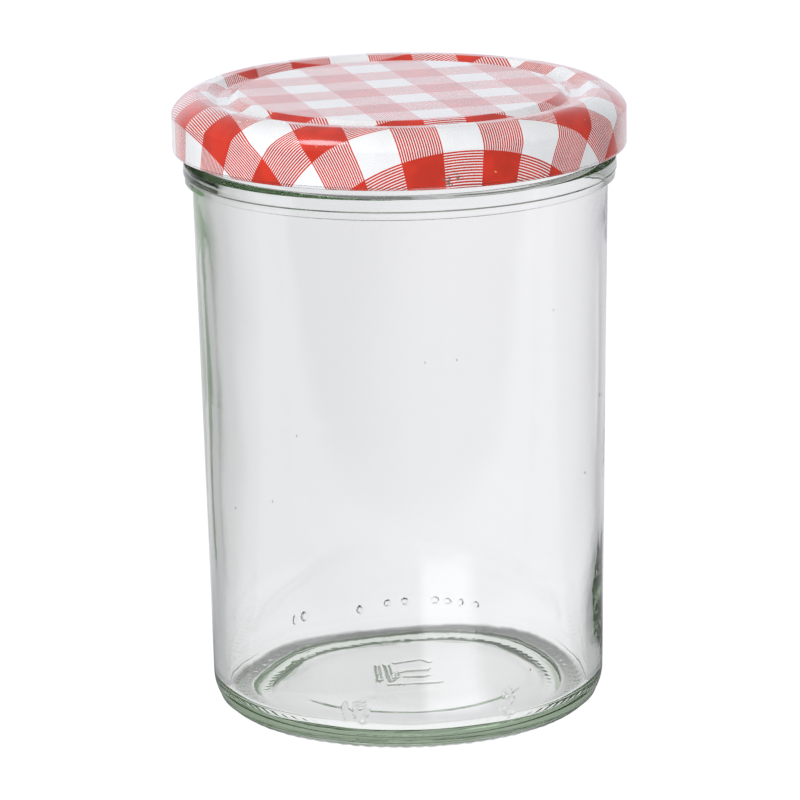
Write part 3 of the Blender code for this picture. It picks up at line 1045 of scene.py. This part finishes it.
def lugReach(angles):
    # 0 to 1 along each of the six stretches of the curl that are pressed inwards
    reach = np.zeros_like(angles)
    half = math.radians(lid['lugSpan'] / 2)
    for index in range(thread['count']):
        middle = math.radians(thread['start'] + index * 360.0 / thread['count'] + lid['lugOffset'])
        away = np.abs(fromAngle(angles, middle))
        reach = np.maximum(reach, 1.0 - smoothStep(*lid['lugEdge'], away / half))
    return reach


def ginghamInk(tree, sheet, place):
    # 0 on the white and 1 on the lines, and solid where two bands cross
    parts = addNode(tree, 'ShaderNodeSeparateXYZ', sheet)
    blur = noise(tree, place, gingham['blurScale'], 2.0)
    gaps = gingham['lines'] - 1
    linePitch = gingham['bandShare'] / gaps
    halfBand = linePitch * (gaps + gingham['lineShare']) / 2
    soft = gingham['bandSoft']
    inBands = []
    onLines = []
    for degrees, pitch, phase in gingham['bands']:
        cosine = math.cos(math.radians(degrees)) * gingham['sheetScale'] / pitch
        sine = math.sin(math.radians(degrees)) * gingham['sheetScale'] / pitch
        position = calc(tree, 'ADD', times(tree, parts.outputs[0], cosine),
                        times(tree, parts.outputs[1], sine))
        # from -0.5 to 0.5 across one pitch, 0 at the middle of a band
        wrapped = calc(tree, 'FRACT', calc(tree, 'ADD', position, phase + 0.5))
        offset = calc(tree, 'SUBTRACT', wrapped, 0.5)
        distance = calc(tree, 'ABSOLUTE', offset)
        band = remap(tree, distance, halfBand - soft, halfBand + soft, 1.0, 0.0)
        counted = calc(tree, 'FRACT', calc(tree, 'DIVIDE', offset, linePitch))
        fromLine = calc(tree, 'ABSOLUTE', calc(tree, 'SUBTRACT', counted, 0.5))
        edge = calc(tree, 'ADD', (gingham['lineShare'] - gingham['lineBlur']) / 2,
                    times(tree, blur, gingham['lineBlur']))
        line = remap(tree, calc(tree, 'SUBTRACT', fromLine, edge),
                     -gingham['lineSoft'], gingham['lineSoft'], 1.0, 0.0)
        inBands.append(band)
        onLines.append(times(tree, band, line))
    crossing = times(tree, inBands[0], inBands[1])
    return calc(tree, 'MAXIMUM', crossing, calc(tree, 'MAXIMUM', onLines[0], onLines[1]))


def lacquerMaterial():
    material, tree, shader = newMaterial('printedLacquer', **lacquer['shader'])
    sheet = addNode(tree, 'ShaderNodeUVMap', uv_map='flatSheet').outputs[0]
    place = addNode(tree, 'ShaderNodeTexCoord').outputs['Object']
    ink = ginghamInk(tree, sheet, place)
    # the ink is a little uneven, with tiny amber specks
    cloudy = noise(tree, place, gingham['cloudScale'], 3.0)
    deep = tuple(value * gingham['redDeep'] for value in gingham['red'][:3]) + (1.0,)
    red = mixColour(tree, remap(tree, cloudy, *gingham['redEdge']), gingham['red'], deep)
    specks = remap(tree, noise(tree, place, lacquer['speckScale'], 0.0), *lacquer['speckEdge'])
    red = mixColour(tree, specks, red, lacquer['speck'])
    dull = remap(tree, cloudy, *gingham['whiteEdge'])
    white = mixColour(tree, dull, gingham['white'], gingham['whiteDull'])
    printed = mixColour(tree, ink, white, red)
    # chips of lost lacquer near the lower edge, and a scratched patch at the front
    parts = addNode(tree, 'ShaderNodeSeparateXYZ', place).outputs
    chipMap = noise(tree, place, lacquer['chipScale'], 3.0, lacquer['chipRough'])
    nearEdge = remap(tree, parts[2], *(height * mm for height in lacquer['chipTop']), 1.0, 0.0)
    chips = remap(tree, times(tree, chipMap, nearEdge), *lacquer['chipEdge'])
    azimuth = calc(tree, 'ARCTAN2', parts[1], parts[0])
    aside = calc(tree, 'ABSOLUTE', calc(tree, 'SUBTRACT', azimuth, math.radians(lacquer['patchAt'])))
    low = remap(tree, parts[2], *(height * mm for height in lacquer['patchTop']), 1.0, 0.0)
    patch = times(tree, remap(tree, aside, *lacquer['patchHalf'], 1.0, 0.0), low)
    scratched = times(tree, patch, remap(tree, chipMap, *lacquer['patchEdge']))
    bare = calc(tree, 'MAXIMUM', chips, scratched)
    surface = mixColour(tree, bare, printed, lacquer['bare'])
    tree.links.new(surface, shader.inputs['Base Color'])
    least, more = lacquer['roughness']
    rough = calc(tree, 'ADD', least, times(tree, cloudy, more))
    tree.links.new(rough, shader.inputs['Roughness'])
    peel = noise(tree, place, lacquer['peelScale'], 2.0)
    sunk = calc(tree, 'SUBTRACT', peel, times(tree, bare, lacquer['chipDepth']))
    bump = addBump(tree, sunk, lacquer['peelStrength'], lacquer['peelDepth'])
    tree.links.new(bump, shader.inputs['Normal'])
    tree.links.new(bump, shader.inputs['Coat Normal'])
    return material


def insideMaterial(name):
    roughness, ior, scale, first, second = insideFinishesWithShade[name]
    material, tree, shader = newMaterial(name, **{'Roughness': roughness, 'IOR': ior})
    place = addNode(tree, 'ShaderNodeTexCoord').outputs['Object']
    cloudy = noise(tree, place, scale, 3.0)
    tree.links.new(mixColour(tree, cloudy, first, second), shader.inputs['Base Color'])
    return material


def makeLid():
    path = lidPath()
    curlR = lid['radius'] - lid['curl']
    hem = lid['radius'] - 2 * lid['curl']
    lugZ = lid['top'] - lid['height'] + lid['lugTop']
    rings = []
    sheet = []
    for (r, z, _), flatR in zip(path, flatRadii(path)):
        count = lid['segments'] if r > 1e-6 else 1
        angles = np.arange(count) * (fullTurn / count)
        ringR = np.full(count, r)
        if r < curlR and z < lugZ and count > 1:
            inwards = lugReach(angles) * (hem - lid['lugTip'])
            ringR = r - inwards * min(1.0, (curlR - r) / lid['curl'])
        rings.append(np.stack([ringR * np.cos(angles), ringR * np.sin(angles), np.full(count, z)], -1))
        sheet.append(np.stack([flatR * np.cos(angles), flatR * np.sin(angles)], -1))
    points, faces, bands = meshFromRings(rings, inward=True)
    materials = [lacquerMaterial()] + [insideMaterial(name) for name in insideFinishesWithShade]
    mesh = finishPiece('ginghamLid', points, faces, materials, 'twist_lid').data
    owners = np.array([path[band + 1][2] for band in bands], dtype=np.int32)
    mesh.polygons.foreach_set('material_index', owners)
    corners = np.empty(len(mesh.loops), dtype=np.int32)
    mesh.loops.foreach_get('vertex_index', corners)
    flatMap = mesh.uv_layers.new(name='flatSheet')
    spread = np.concatenate(sheet)[corners] / gingham['sheetScale']
    flatMap.data.foreach_set('uv', spread.astype(np.float32).ravel())
    print('lid made:', countTriangles(faces), 'triangles')


scene = bpy.context.scene
scene.view_settings.view_transform = 'Standard'
scene.view_settings.look = 'None'
scene.cycles.max_bounces = 48           # enough for the glass of both walls and the base
scene.cycles.transmission_bounces = 40
scene.cycles.glossy_bounces = 40
scene.cycles.diffuse_bounces = 4
scene.cycles.caustics_reflective = True
scene.cycles.caustics_refractive = True
scene.cycles.blur_glossy = 0.0
scene.cycles.denoising_input_passes = 'RGB'     # the denoiser then keeps the lid's finest lines

placeCamera(photoView)
print('camera placed')
makeWorld(studio)
makeFloor(studio)
print('studio made')
makeJar()
makeLid()
